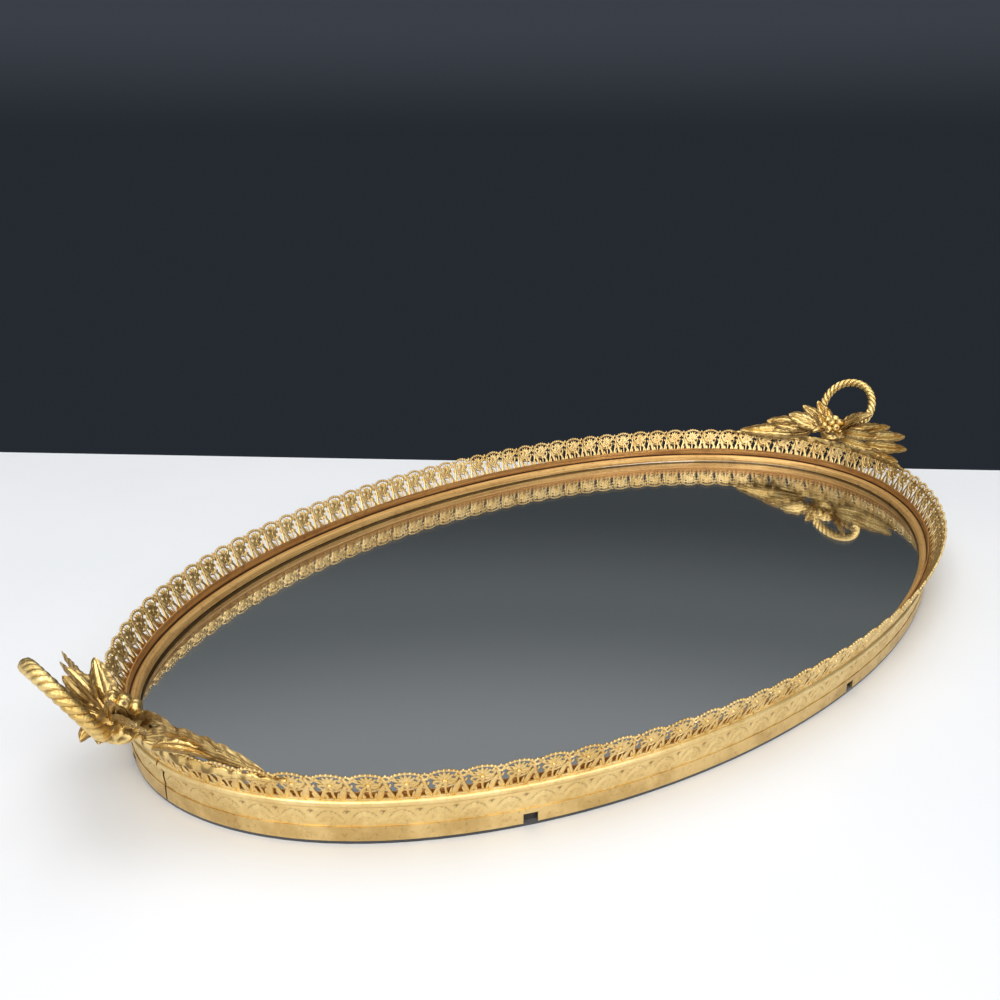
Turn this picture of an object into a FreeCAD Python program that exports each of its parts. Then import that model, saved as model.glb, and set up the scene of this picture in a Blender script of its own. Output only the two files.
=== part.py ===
import FreeCAD, Part
import Sketcher
import math
import os
import re

# Oval dresser vanity tray: a mirror in a stamped brass rim with a pierced gallery, and a
# rope-ring handle at each end.  Millimetres, +Z up, +X along the length.  The origin is on
# the surface that the tray stands on, in the middle of the oval.
#
# The rim pieces are rings between ellipses.  An ellipse is placed by its offset from the
# foot outline, so rings that share an offset and a height meet face to face.

V = FreeCAD.Vector
os.makedirs("parts", exist_ok=True)
doc = FreeCAD.newDocument("vanity_tray")

# ------------------------------------------------------------------ driving dimensions
DIMENSIONS = [
    ("foot_length", 430.0, "outline of the rim at its foot, along X"),
    ("foot_width", 256.0, "outline of the rim at its foot, along Y"),
    ("felt_thick", 1.2, "felt under the base board"),
    ("felt_inset", 0.4, "felt edge inside the ribbon's inner face"),
    ("board_thick", 3.2, "base board"),
    ("clip_thick", 0.5, "backing clips, sheet brass"),
    ("clip_width", 4.4, "width of one clip"),
    ("clip_reach", 5.5, "how far a clip reaches in under the packing board"),
    ("packing_thick", 2.7, "corrugated packing board"),
    ("paper_thick", 0.5, "cushion paper behind the mirror"),
    ("silver_thick", 0.1, "silvering and its backing paint"),
    ("glass_thick", 3.0, "mirror plate"),
    ("plate_gap", 0.4, "gap between the plates and the rim"),
    ("ribbon_height", 5.0, "plain ribbon at the foot"),
    ("ribbon_thick", 1.0, "brass of the ribbon"),
    ("band_step", 0.4, "how far the ribbon stands proud of the band"),
    ("band_height", 7.5, "embossed band between ribbon and ridge"),
    ("band_lean", 1.2, "outward lean of the band's top"),
    ("ridge_height", 2.6, "half-round ridge above the band"),
    ("ridge_bulge", 1.0, "how far the ridge stands out"),
    ("band_thick", 1.0, "brass of the band"),
    ("gallery_height", 12.5, "pierced gallery"),
    ("gallery_flare", 5.6, "outward lean of the gallery's top"),
    ("gallery_thick", 0.8, "brass of the gallery"),
    ("gallery_repeats", 100, "scallops round the gallery"),
    ("window_radius", 3.2, "large pierced opening in each scallop"),
    ("window_up", 0.5, "middle of that opening, as a share of the gallery's height"),
    ("scallop_drop", 2.0, "depth of the notch between two scallops"),
    ("ledge_width", 0.8, "brown strip inside the wall, above the bead"),
    ("ledge_rise", 2.0, "that strip above the foot of the gallery"),
    ("groove_width", 0.35, "step in the strip, over the bead"),
    ("groove_depth", 3.6, "foot of that step below the strip's top"),
    ("bead_width", 3.0, "bead that holds the mirror down"),
    ("bead_height", 3.3, "bead above the mirror"),
    ("notch_count", 7, "notches and backing clips round the foot"),
    ("notch_width", 4.8, "width of a notch"),
    ("notch_height", 3.4, "height of a notch"),
    ("notch_phase", 128.0, "first notch from the -X end, along the outline"),
    ("notch_spacing", 0.954, "their spacing, as a share of even spacing round the outline"),
    ("seam_gap", 0.8, "open butt joint where the strip's ends meet"),
    ("seam_phase", 6.5, "that joint from the -X end, along the outline"),
    ("lap_width", 10.0, "lap plate soldered behind the joint"),
    ("lap_thick", 0.6, "brass of the lap plate"),
    ("saddle_span", 104.0, "saddle strap along the gallery, tip to tip"),
    ("saddle_depth", 3.6, "how far the saddle reaches down inside the gallery"),
    ("saddle_rise", 1.0, "how far the saddle stands above the gallery"),
    ("saddle_thick", 1.0, "brass of the saddle"),
    ("knot_length", 15.0, "knot that ties ring and leaves together, along Y"),
    ("knot_width", 12.0, "knot, along X"),
    ("knot_height", 11.0, "knot, along Z"),
    ("knot_out", 3.0, "knot's middle beyond the gallery's top edge"),
    ("knot_up", 4.0, "knot's middle above the gallery's top edge"),
    ("ring_radius", 14.9, "rope ring, to the middle of the rope"),
    ("rope_radius", 2.4, "rope of the ring"),
    ("ring_out", 17.0, "ring's middle beyond the gallery's top edge"),
    ("ring_up", 18.5, "ring's middle above the gallery's top edge"),
    ("ring_lean", 30.0, "outward lean of the ring, degrees"),
    ("leaf_thick", 1.3, "cast leaves"),
    ("leaf_bend", 60.0, "radius that a leaf is bent to"),
    ("leaf_belly", 0.45, "widest place of a leaf, as a share of its length"),
    ("berry_radius", 2.2, "one berry"),
    ("berry_gap", 0.1, "gap between neighbouring berries"),
    ("berry_back", 3.0, "middle of the bunch, in towards the tray from the knot's"),
    ("berry_tilt", 35.0, "how far the bunch leans in over the tray, degrees"),
]

# Heights and offsets, each worked out from the cells above.
DERIVED = [
    ("clip_base", "felt_thick + board_thick"),
    ("packing_base", "clip_base + clip_thick"),
    ("paper_base", "packing_base + packing_thick"),
    ("silver_base", "paper_base + paper_thick"),
    ("glass_base", "silver_base + silver_thick"),
    ("mirror_top", "glass_base + glass_thick"),
    ("band_base", "felt_thick + ribbon_height"),
    ("ridge_base", "band_base + band_height"),
    ("gallery_base", "ridge_base + ridge_height"),
    ("gallery_top", "gallery_base + gallery_height"),
    ("band_foot_off", "0 - band_step"),
    ("band_top_off", "band_foot_off + band_lean"),
    ("gallery_top_off", "band_top_off + gallery_flare"),
    ("frame_off", "band_top_off - band_thick"),
    ("bead_off", "frame_off - ledge_width"),
    ("plate_off", "band_foot_off - band_thick - plate_gap"),
    ("end_reach", "foot_length / 2 + gallery_top_off"),
]

sheet = doc.addObject("Spreadsheet::Sheet", "Dimensions")
for row, (alias, content, *note) in enumerate(DIMENSIONS + DERIVED, start=1):
    sheet.set(f"A{row}", alias)
    sheet.set(f"B{row}", str(content) if note else f"={content}")
    sheet.set(f"C{row}", note[0] if note else "")
    sheet.setAlias(f"B{row}", alias)
doc.recompute()
ALIASES = {entry[0] for entry in DIMENSIONS + DERIVED}


def size(alias):
    """The present value of a cell."""
    return float(getattr(sheet, alias))


def bind(item, prop, formula):
    """Ties a property to a formula in the sheet's names."""
    def named(match):
        word = match.group()
        return f"Dimensions.{word}" if word in ALIASES else word
    item.setExpression(prop, re.sub(r"[a-z_]+", named, formula))


# ------------------------------------------------------------------ rings between ellipses
def ellipse(name, offset, height):
    """An ellipse at an offset from the foot outline; offset and height are formulas."""
    curve = doc.addObject("Part::Ellipse", name)
    bind(curve, "MajorRadius", f"foot_length / 2 + ({offset})")
    bind(curve, "MinorRadius", f"foot_width / 2 + ({offset})")
    bind(curve, "Placement.Base.z", height)
    return curve


def lofted(name, stations):
    """A solid through ellipses, one for each (offset, height) station from the bottom up."""
    loft = doc.addObject("Part::Loft", name)
    loft.Sections = [ellipse(f"{name}_{i}", off, z) for i, (off, z) in enumerate(stations)]
    loft.Solid = True
    loft.Ruled = True
    return loft


def minus(label, base, *tools):
    """The base less each tool, so that the pieces meet face to face."""
    for i, tool in enumerate(tools, start=1):
        cut = doc.addObject("Part::Cut", label if i == len(tools) else f"{label}_cut{i}")
        cut.Base = base
        cut.Tool = tool
        cut.Refine = False
        base = cut
    return base


def ring(label, outer, inner):
    """A ring between an outer and an inner lofted solid."""
    return minus(label, lofted(f"{label}_outer", outer), lofted(f"{label}_inner", inner))


def holder(name, shape):
    """A helper object that holds a shape for the features built on it."""
    feature = doc.addObject("Part::Feature", name)
    feature.Shape = shape
    return feature


# ------------------------------------------------------------------ places round the rim
STEPS = 1440


def outline_place(distance, offset=0.0):
    """A point of an offset ellipse and its outward normal, that far along the foot outline
    from the -X end, towards -Y."""
    semi_x = size("foot_length") / 2
    semi_y = size("foot_width") / 2
    turn = 2 * math.pi / STEPS
    angle = math.pi
    walked = 0.0
    while walked < distance:
        middle = angle + turn / 2
        walked += math.hypot(semi_x * math.sin(middle), semi_y * math.cos(middle)) * turn
        angle += turn
    point = V((semi_x + offset) * math.cos(angle), (semi_y + offset) * math.sin(angle), 0)
    normal = V(semi_y * math.cos(angle), semi_x * math.sin(angle), 0)
    return point, normal.normalize()


def outline_length():
    """The length of the foot outline."""
    semi_x = size("foot_length") / 2
    semi_y = size("foot_width") / 2
    turn = 2 * math.pi / STEPS
    middles = [(i + 0.5) * turn for i in range(STEPS)]
    return sum(math.hypot(semi_x * math.sin(a), semi_y * math.cos(a)) * turn for a in middles)


def spaced(count, first=0.0):
    """Distances of so many evenly spaced places along the foot outline."""
    length = outline_length()
    return [(first + i * length / count) % length for i in range(count)]


def notch_distances():
    """Where the notches are: one before the first, then the rest on from it."""
    count = int(size("notch_count"))
    step = size("notch_spacing") * outline_length() / count
    return [(size("notch_phase") + i * step) % outline_length() for i in range(-1, count - 1)]


def on_rim(distance, height, offset=0.0, lean=0.0):
    """A placement on the rim: local +X is the outward normal, tilted down by the lean."""
    point, normal = outline_place(distance, offset)
    spin = FreeCAD.Rotation(V(0, 0, 1), math.degrees(math.atan2(normal.y, normal.x)))
    tilt = FreeCAD.Rotation(V(0, 1, 0), lean)
    return FreeCAD.Placement(V(point.x, point.y, height), spin.multiply(tilt))


def block(deep, wide, tall, place, start):
    """A box on the rim: deep along the normal from start, and wide along the outline."""
    box = Part.makeBox(deep, wide, tall, V(start, -wide / 2, 0))
    box.Placement = place
    return box


# ------------------------------------------------------------------ plates under the rim
def plate(label, inset, base, thick):
    """An oval plate: a sketched ellipse, padded, standing at its base height."""
    body = doc.addObject("PartDesign::Body", label)
    sketch = body.newObject("Sketcher::SketchObject", f"{label}_outline")
    floor = next(p for p in body.Origin.OriginFeatures if p.Role == "XY_Plane")
    sketch.AttachmentSupport = [(floor, "")]
    sketch.MapMode = "FlatFace"
    semi_x = size("foot_length") / 2
    semi_y = size("foot_width") / 2
    sketch.addGeometry(Part.Ellipse(V(semi_x, 0, 0), V(0, semi_y, 0), V(0, 0, 0)), False)
    sketch.exposeInternalGeometry(0)
    sketch.addConstraint(Sketcher.Constraint("Coincident", 0, 3, -1, 1))
    sketch.addConstraint(Sketcher.Constraint("Horizontal", 1))
    for axis, name, across in ((1, "along", semi_x), (2, "across", semi_y)):
        sketch.addConstraint(Sketcher.Constraint("Distance", axis, 2 * across))
        sketch.renameConstraint(sketch.ConstraintCount - 1, name)
    bind(sketch, "Constraints.along", f"foot_length + 2 * ({inset})")
    bind(sketch, "Constraints.across", f"foot_width + 2 * ({inset})")
    pad = body.newObject("PartDesign::Pad", f"{label}_pad")
    pad.Profile = sketch
    bind(pad, "Length", thick)
    bind(body, "Placement.Base.z", base)
    return body


plates = [
    plate("base_felt", "0 - ribbon_thick - felt_inset", "0", "felt_thick"),
    plate("base_board", "plate_off", "felt_thick", "board_thick"),
    plate("packing_board", "plate_off", "packing_base", "packing_thick"),
    plate("cushion_paper", "plate_off", "paper_base", "paper_thick"),
    plate("mirror_silvering", "plate_off", "silver_base", "silver_thick"),
    plate("mirror_glass", "plate_off", "glass_base", "glass_thick"),
]


# ------------------------------------------------------------------ ribbon, clips and seam
def seam_slot():
    """The gap between the two ends of the brass strip, right through ribbon and band."""
    deep = 2 * (size("ribbon_thick") + size("ridge_bulge") + size("band_lean"))
    place = on_rim(size("seam_phase"), 0)
    return block(deep, size("seam_gap"), size("gallery_top"), place, -deep / 2)


def foot_notches():
    """Openings in the ribbon's lower edge, one at each backing clip."""
    deep = 2 * size("ribbon_thick")
    places = [on_rim(d, size("felt_thick")) for d in notch_distances()]
    tall = size("notch_height")
    return Part.makeCompound([block(2 * deep, size("notch_width"), tall, p, -deep) for p in places])


def clip_blanks():
    """Tongues at the notches, long enough to be trimmed by the ribbon."""
    deep = size("clip_reach") + size("ribbon_thick")
    places = [on_rim(d, size("clip_base")) for d in notch_distances()]
    wide, tall = size("clip_width"), size("clip_thick")
    return Part.makeCompound([block(deep, wide, tall, p, -deep - size("ribbon_thick") / 2) for p in places])


slot = holder("seam_slot", seam_slot())
ribbon_ring = ring(
    "ribbon_ring",
    [("0", "felt_thick"), ("0", "band_base")],
    [("0 - ribbon_thick", "felt_thick"), ("0 - ribbon_thick", "band_base")],
)
foot_ribbon = minus("foot_ribbon", ribbon_ring, holder("foot_notches", foot_notches()), slot)
backing_clips = minus("backing_clips", holder("clip_blanks", clip_blanks()), ribbon_ring)

# ------------------------------------------------------------------ band and its ridge
# The ridge's section: shares of its bulge and of its height.
RIDGE_SECTION = [(0, 0), (0.8, 0.2), (1, 0.5), (0.8, 0.8), (0, 1)]
band_outer = [("band_foot_off", "band_base")]
band_outer += [
    (f"band_top_off + ridge_bulge * {out}", f"ridge_base + ridge_height * {up}")
    for out, up in RIDGE_SECTION
]
band_inner = [
    ("band_foot_off - band_thick", "band_base"),
    ("frame_off", "ridge_base"),
    ("frame_off", "gallery_base"),
]
embossed_band = minus("embossed_band", ring("band_ring", band_outer, band_inner), slot)


def lap_blank():
    """A plate across the back of the joint, deep enough to be trimmed by the band."""
    deep = size("lap_thick") + size("band_lean") + size("band_thick")
    low = size("mirror_top") + size("lap_thick")
    tall = size("ridge_base") - low
    inside = size("frame_off") - size("lap_thick")
    return block(deep, size("lap_width"), tall, on_rim(size("seam_phase"), low), inside)


lap_trim = lofted("lap_trim", band_inner)
seam_lap = doc.addObject("Part::Common", "seam_lap")
seam_lap.Base = holder("lap_blank", lap_blank())
seam_lap.Tool = lap_trim

# ------------------------------------------------------------------ ledge and bead
# The step's foot and side slope by this share, which a ruled loft needs.
GROOVE_DRAFT = 0.98
ledge_top = "gallery_base + ledge_rise"
rim_ledge = ring(
    "rim_ledge",
    [("frame_off", "ridge_base"), ("frame_off", ledge_top)],
    [
        ("bead_off", "ridge_base"),
        ("bead_off", f"{ledge_top} - groove_depth"),
        (f"bead_off + groove_width * {GROOVE_DRAFT}", f"{ledge_top} - groove_depth * {GROOVE_DRAFT}"),
        ("bead_off + groove_width", ledge_top),
    ],
)
# The bead's section, outer and inner side: shares of its width and of its height.
BEAD_OUTER_SIDE = [(0, 0), (0, 0.9), (0.08, 0.97), (0.25, 1)]
BEAD_INNER_SIDE = [(1, 0), (0.97, 0.35), (0.85, 0.7), (0.5, 1)]


def bead_stations(section):
    return [(f"bead_off - bead_width * {across}", f"mirror_top + bead_height * {up}") for across, up in section]


retaining_bead = ring("retaining_bead", bead_stations(BEAD_OUTER_SIDE), bead_stations(BEAD_INNER_SIDE))


# ------------------------------------------------------------------ pierced gallery
# How deep a piercing tool is, in wall thicknesses.
CUT_THROUGH = 6


def gallery_piercing():
    """One round window in each scallop, and one wedge out of the edge between scallops."""
    count = int(size("gallery_repeats"))
    tall = size("gallery_height")
    flare = size("gallery_flare")
    lean = math.degrees(math.atan2(flare, tall))
    deep = CUT_THROUGH * size("gallery_thick")
    middle = size("gallery_base") + tall * size("window_up")
    tools = []
    for distance in spaced(count):
        window = Part.makeCylinder(size("window_radius"), deep, V(-deep / 2, 0, 0), V(1, 0, 0))
        offset = size("band_top_off") + flare * size("window_up")
        window.Placement = on_rim(distance, middle, offset, lean)
        tools.append(window)
    pitch = outline_length() / count
    drop = size("scallop_drop")
    for distance in spaced(count, pitch / 2):
        corners = [V(-deep / 2, -drop, drop), V(-deep / 2, 0, -drop), V(-deep / 2, drop, drop)]
        wedge = Part.Face(Part.makePolygon(corners + corners[:1])).extrude(V(deep, 0, 0))
        wedge.Placement = on_rim(distance, size("gallery_top"), size("gallery_top_off"), lean)
        tools.append(wedge)
    return Part.makeCompound(tools)


gallery_outer = [("band_top_off", "gallery_base"), ("gallery_top_off", "gallery_top")]
gallery_inner = [(f"{off} - gallery_thick", z) for off, z in gallery_outer]
gallery_wall = ring("gallery_wall", gallery_outer, gallery_inner)
pierced_gallery = minus("pierced_gallery", gallery_wall, holder("piercing", gallery_piercing()))

# ------------------------------------------------------------------ handles
SADDLE_SLOPE = "gallery_flare / gallery_height"
SADDLE_BACK = "gallery_top_off - gallery_thick"
saddle_outer = [
    (f"{SADDLE_BACK} - {SADDLE_SLOPE} * saddle_depth", "gallery_top - saddle_depth"),
    (f"{SADDLE_BACK} + {SADDLE_SLOPE} * saddle_rise", "gallery_top + saddle_rise"),
]
saddle_inner = [(f"{off} - saddle_thick", z) for off, z in saddle_outer]
saddle_ring = ring("saddle_ring", saddle_outer, saddle_inner)

# A leaf: name, length, width, root from the gallery's top edge, heading, pitch, roll.  The
# heading is measured from +X towards +Y, the pitch up from level, in degrees.
CURLED_LEAF = ("curled", 42.0, 12.0, (2.0, 10.0, 5.0), 112.0, 0.0, 62.0)
UPPER_LEAVES = [
    ("upper_long", 25.0, 8.0, (5.0, 3.0, 7.0), 84.0, 24.0, 40.0),
    ("upper_short", 20.0, 8.0, (5.5, 2.0, 8.0), 70.0, 46.0, 60.0),
]
SIDE_LEAVES = [
    ("side_long", 38.0, 9.0, (5.0, -4.0, 6.0), -96.0, 8.0, -35.0),
    ("side_low", 43.0, 8.0, (2.5, -8.0, 3.5), -112.0, -2.0, -65.0),
    ("side_short", 22.0, 7.0, (5.0, -4.0, 8.0), -84.0, 30.0, -55.0),
]


def leaf_shape(length, width):
    """A pointed leaf from the origin along +X: two arcs, bent down to a radius."""
    bend = size("leaf_bend")
    tip = V(length, 0, 0)
    belly = length * size("leaf_belly")
    left = Part.Arc(V(0, 0, 0), V(belly, width / 2, 0), tip).toShape()
    right = Part.Arc(tip, V(belly, -width / 2, 0), V(0, 0, 0)).toShape()
    blank = Part.Face(Part.Wire([left, right])).extrude(V(0, 0, 2 * bend))
    blank.translate(V(0, 0, -bend))
    start = V(0, -width, -bend)
    skin = Part.makeCylinder(bend + size("leaf_thick") / 2, 2 * width, start, V(0, 1, 0))
    core = Part.makeCylinder(bend - size("leaf_thick") / 2, 2 * width, start, V(0, 1, 0))
    return blank.common(skin.cut(core))


def leaf(spec):
    """A leaf in its place on the +X handle."""
    name, length, width, (out, along, up), heading, pitch, roll = spec
    feature = holder(f"{name}_blade", leaf_shape(length, width))
    turn = FreeCAD.Rotation(V(0, 0, 1), heading)
    turn = turn.multiply(FreeCAD.Rotation(V(0, 1, 0), -pitch))
    turn = turn.multiply(FreeCAD.Rotation(V(1, 0, 0), roll))
    root = V(size("end_reach") + out, along, size("gallery_top") + up)
    feature.Placement = FreeCAD.Placement(root, turn)
    return feature


def fused(name, items):
    """Several shapes grown together."""
    union = doc.addObject("Part::MultiFuse", name)
    union.Shapes = items
    return union


def end_block(name, span, top):
    """A block over the tray's +X half, as wide as the span and as high as the top."""
    box = doc.addObject("Part::Box", name)
    bind(box, "Length", "foot_length")
    bind(box, "Width", span)
    bind(box, "Height", top)
    bind(box, "Placement.Base.y", f"0 - ({span}) / 2")
    return box


def saddle():
    """The strap along the inside of the gallery's top edge."""
    strap = doc.addObject("Part::Common", "handle_saddle")
    strap.Base = saddle_ring
    strap.Tool = end_block("saddle_reach", "saddle_span", "2 * gallery_top")
    return strap


def knot(seat):
    """The knot that the ring and the leaves spring from, seated flat on the strap."""
    lump = doc.addObject("Part::Ellipsoid", "knot_lump")
    bind(lump, "Radius1", "knot_height / 2")
    bind(lump, "Radius2", "knot_width / 2")
    bind(lump, "Radius3", "knot_length / 2")
    bind(lump, "Placement.Base.x", "end_reach + knot_out")
    bind(lump, "Placement.Base.z", "gallery_top + knot_up")
    return minus("handle_knot", lump, seat)


def rope_ring(root):
    """The rope ring, leaning outward, its foot buried in the knot."""
    torus = doc.addObject("Part::Torus", "rope")
    bind(torus, "Radius1", "ring_radius")
    bind(torus, "Radius2", "rope_radius")
    torus.Placement.Rotation = FreeCAD.Rotation(V(0, 1, 0), 90 + size("ring_lean"))
    bind(torus, "Placement.Base.x", "end_reach + ring_out")
    bind(torus, "Placement.Base.z", "gallery_top + ring_up")
    return minus("rope_ring", torus, root)


def berries(*neighbours):
    """A middle berry and six round it, on the knot's upper inner side."""
    across = size("end_reach") + size("knot_out") - size("berry_back")
    middle = V(across, 0, size("gallery_top") + size("knot_up"))
    middle += V(0, 0, size("knot_height") / 2 + size("berry_radius") / 2)
    slope = FreeCAD.Rotation(V(0, 1, 0), -size("berry_tilt"))
    spread = 2 * size("berry_radius") + size("berry_gap")
    spots = [V(0, 0, size("berry_radius") / 2)]
    for i in range(6):
        angle = math.radians(60 * i)
        spots.append(V(math.cos(angle), math.sin(angle), 0) * spread)
    group = []
    for i, spot in enumerate(spots):
        ball = doc.addObject("Part::Sphere", f"berry{i}")
        bind(ball, "Radius", "berry_radius")
        ball.Placement.Base = middle + slope.multVec(spot)
        group.append(ball)
    return minus("berry_cluster", fused("berries", group), *neighbours)


def cast_handle():
    """All the pieces of a handle, in their places at the +X end."""
    strap = saddle()
    seat = end_block("seat", "foot_width", "gallery_top + saddle_rise")
    root = knot(seat)
    loop = rope_ring(root)
    base = [seat, root, loop]
    curled = minus("curled_leaf", leaf(CURLED_LEAF), *base)
    upper = fused("uppers", [leaf(spec) for spec in UPPER_LEAVES])
    upper = minus("upper_leaves", upper, *base, curled)
    side = fused("sides", [leaf(spec) for spec in SIDE_LEAVES])
    side = minus("side_leaves", side, *base, curled, upper)
    fruit = berries(*base, curled, upper, side)
    return [strap, root, loop, curled, upper, side, fruit]


def mounted(piece, end, turn):
    """A piece of the handle at one end of the tray, turned about Z to face out."""
    node = doc.addObject("Part::Compound", f"{end}_{piece.Label}")
    node.Links = [piece]
    node.Placement.Rotation = FreeCAD.Rotation(V(0, 0, 1), turn)
    return node


nodes = plates + [foot_ribbon, backing_clips, embossed_band, seam_lap, rim_ledge, retaining_bead]
nodes.append(pierced_gallery)
handle_pieces = cast_handle()
for end, turn in (("right", 0), ("left", 180)):
    nodes += [mounted(piece, end, turn) for piece in handle_pieces]

# ------------------------------------------------------------------ checks and export
doc.recompute()
for item in doc.Objects:
    if "Invalid" in item.State or "Error" in item.State:
        raise RuntimeError(f"{item.Label} did not build: {item.State}")
for node in nodes:
    shape = node.Shape
    if shape.isNull() or not shape.isValid() or not shape.Solids:
        raise RuntimeError(f"{node.Label} has no valid solid")
    shape.exportStep(f"parts/{node.Label}.step")
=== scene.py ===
import bisect
import math

import bmesh
import bpy
from mathutils import Matrix, Vector, noise


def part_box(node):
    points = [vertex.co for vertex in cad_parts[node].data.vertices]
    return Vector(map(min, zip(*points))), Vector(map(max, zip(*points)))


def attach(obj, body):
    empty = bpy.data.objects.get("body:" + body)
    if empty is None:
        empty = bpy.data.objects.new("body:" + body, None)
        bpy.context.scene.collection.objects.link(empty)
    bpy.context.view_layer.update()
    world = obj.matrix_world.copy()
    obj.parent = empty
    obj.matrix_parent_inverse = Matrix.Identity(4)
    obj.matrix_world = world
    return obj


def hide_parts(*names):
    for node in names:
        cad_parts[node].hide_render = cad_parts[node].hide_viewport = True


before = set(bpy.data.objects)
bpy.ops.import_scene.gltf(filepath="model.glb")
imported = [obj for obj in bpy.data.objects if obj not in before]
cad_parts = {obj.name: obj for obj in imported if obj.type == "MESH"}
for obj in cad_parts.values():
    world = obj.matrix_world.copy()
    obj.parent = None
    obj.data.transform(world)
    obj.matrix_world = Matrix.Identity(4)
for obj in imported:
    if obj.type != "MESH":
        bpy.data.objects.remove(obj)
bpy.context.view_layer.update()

# ---------------------------------------------------------------- base felt
# A sheet of black felt, cut to the tray's oval and glued under the base board, so that the
# metal doesn't scratch the dresser. It is made nearly black and set close to the foot's edge,
# so that it also paints the shadow line under the ribbon.
MM = 0.001
HALF_LENGTH = 215 * MM
HALF_WIDTH = 128 * MM
FELT_INSET = 0.3 * MM
FELT_THICK = 1.2 * MM
FELT_SIDES = 144


def wire(material, kind, settings=(), **inputs):
    """Adds a node. Settings are its properties; an input is a value or another node's output."""
    made = material.node_tree.nodes.new("ShaderNode" + kind)
    for name, value in dict(settings).items():
        setattr(made, name, value)
    for name, value in inputs.items():
        socket = made.inputs[int(name[1:]) if name[1:].isdigit() else name.replace("_", " ")]
        if isinstance(value, bpy.types.NodeSocket):
            material.node_tree.links.new(value, socket)
        else:
            socket.default_value = value
    return made


def new_material(name, **inputs):
    """A material with one Principled shader, whose sockets take the values given."""
    material = bpy.data.materials.new(name)
    material.use_nodes = True
    shader = material.node_tree.nodes["Principled BSDF"]
    for key, value in inputs.items():
        shader.inputs[key.replace("_", " ")].default_value = value
    return material, shader


def object_points(material):
    return wire(material, "TexCoord").outputs["Object"]


def grain(material, scale, detail=4.0, roughness=0.55, vector=None):
    """Noise between 0 and 1; the scale is in patches to the metre."""
    source = object_points(material) if vector is None else vector
    made = wire(material, "TexNoise", Vector=source, Scale=scale, Detail=detail,
                Roughness=roughness)
    return made.outputs["Fac"]


def ranged(material, value, low, high, to_low=0.0, to_high=1.0):
    """The value between low and high, spread smoothly over a new range."""
    made = wire(material, "MapRange", {"interpolation_type": "SMOOTHSTEP"}, Value=value)
    ends = {"From Min": low, "From Max": high, "To Min": to_low, "To Max": to_high}
    for name, number in ends.items():
        made.inputs[name].default_value = number
    return made.outputs["Result"]


def blended(material, share, first, second):
    """One colour turning into another as the share goes from 0 to 1."""
    made = wire(material, "Mix", {"data_type": "RGBA"}, _0=share, _6=first, _7=second)
    return made.outputs[2]


def bumped(material, shader, height, depth, strength=1.0):
    made = wire(material, "Bump", Height=height, Distance=depth, Strength=strength)
    material.node_tree.links.new(made.outputs["Normal"], shader.inputs["Normal"])


def joined(material, value, socket):
    material.node_tree.links.new(value, socket)


def finished(name, mesh, material, replaced, crease=40.0):
    """The finished mesh as a piece of the tray, in place of these CAD nodes."""
    data = bpy.data.meshes.new(name)
    mesh.to_mesh(data)
    mesh.free()
    data.shade_smooth()
    data.set_sharp_from_angle(angle=math.radians(crease))
    data.materials.append(material)
    piece = bpy.data.objects.new(name, data)
    bpy.context.scene.collection.objects.link(piece)
    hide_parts(*replaced)
    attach(piece, "root")
    return piece


def oval_plate(half_length, half_width, low, high, sides):
    """A flat oval plate between two heights."""
    mesh = bmesh.new()
    bmesh.ops.create_circle(mesh, cap_ends=True, segments=sides, radius=1.0)
    bmesh.ops.scale(mesh, vec=(half_length, half_width, 1.0), verts=mesh.verts)
    bmesh.ops.translate(mesh, vec=(0, 0, low), verts=mesh.verts)
    grown = bmesh.ops.extrude_face_region(mesh, geom=mesh.faces[:])
    top = [item for item in grown["geom"] if isinstance(item, bmesh.types.BMVert)]
    bmesh.ops.translate(mesh, vec=(0, 0, high - low), verts=top)
    bmesh.ops.recalc_face_normals(mesh, faces=mesh.faces)
    return mesh


felt_and_shadow, shader = new_material("felt_and_shadow", Roughness=1.0, Sheen_Weight=0.35,
                                  Sheen_Roughness=0.6)
fuzz = grain(felt_and_shadow, 2600.0, detail=6.0)
# Painted shadow: the felt's near-black colour also stands for the dark gap under the ribbon.
joined(felt_and_shadow, blended(felt_and_shadow, fuzz, (0.006, 0.006, 0.007, 1), (0.03, 0.029, 0.031, 1)),
       shader.inputs["Base Color"])
bumped(felt_and_shadow, shader, fuzz, 0.3 * MM)

cloth = oval_plate(HALF_LENGTH - FELT_INSET, HALF_WIDTH - FELT_INSET, 0.0, FELT_THICK, FELT_SIDES)
felt = finished("felt_sheet", cloth, felt_and_shadow, ["base_felt"])

# ---------------------------------------------------------------- boards, paper and clips
# Dark pressed board closes the tray underneath. A corrugated packing board and a sheet of
# brown paper cushion the glass, and folded brass clips inside the foot hold the stack up.


def recoated(node, material):
    """Gives a CAD node that stays in sight its finish."""
    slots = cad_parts[node].material_slots
    if not slots:
        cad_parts[node].data.materials.append(material)
    for slot in slots:
        slot.material = material


def fibre(name, dark, light, scale):
    """Pressed or paper fibre, mottled between two browns."""
    material, shader = new_material(name, Roughness=0.9)
    mottle = grain(material, scale, detail=8.0, roughness=0.7)
    joined(material, blended(material, mottle, dark, light), shader.inputs["Base Color"])
    bumped(material, shader, mottle, 0.1 * MM)
    return material


for node, name, dark, light, scale in (
        ("base_board", "pressed_board", (0.02, 0.017, 0.014, 1), (0.07, 0.06, 0.05, 1), 500.0),
        ("packing_board", "packing_card", (0.2, 0.14, 0.08, 1), (0.38, 0.28, 0.17, 1), 300.0),
        ("cushion_paper", "brown_paper", (0.25, 0.18, 0.1, 1), (0.4, 0.3, 0.18, 1), 900.0)):
    recoated(node, fibre(name, dark, light, scale))

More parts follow.
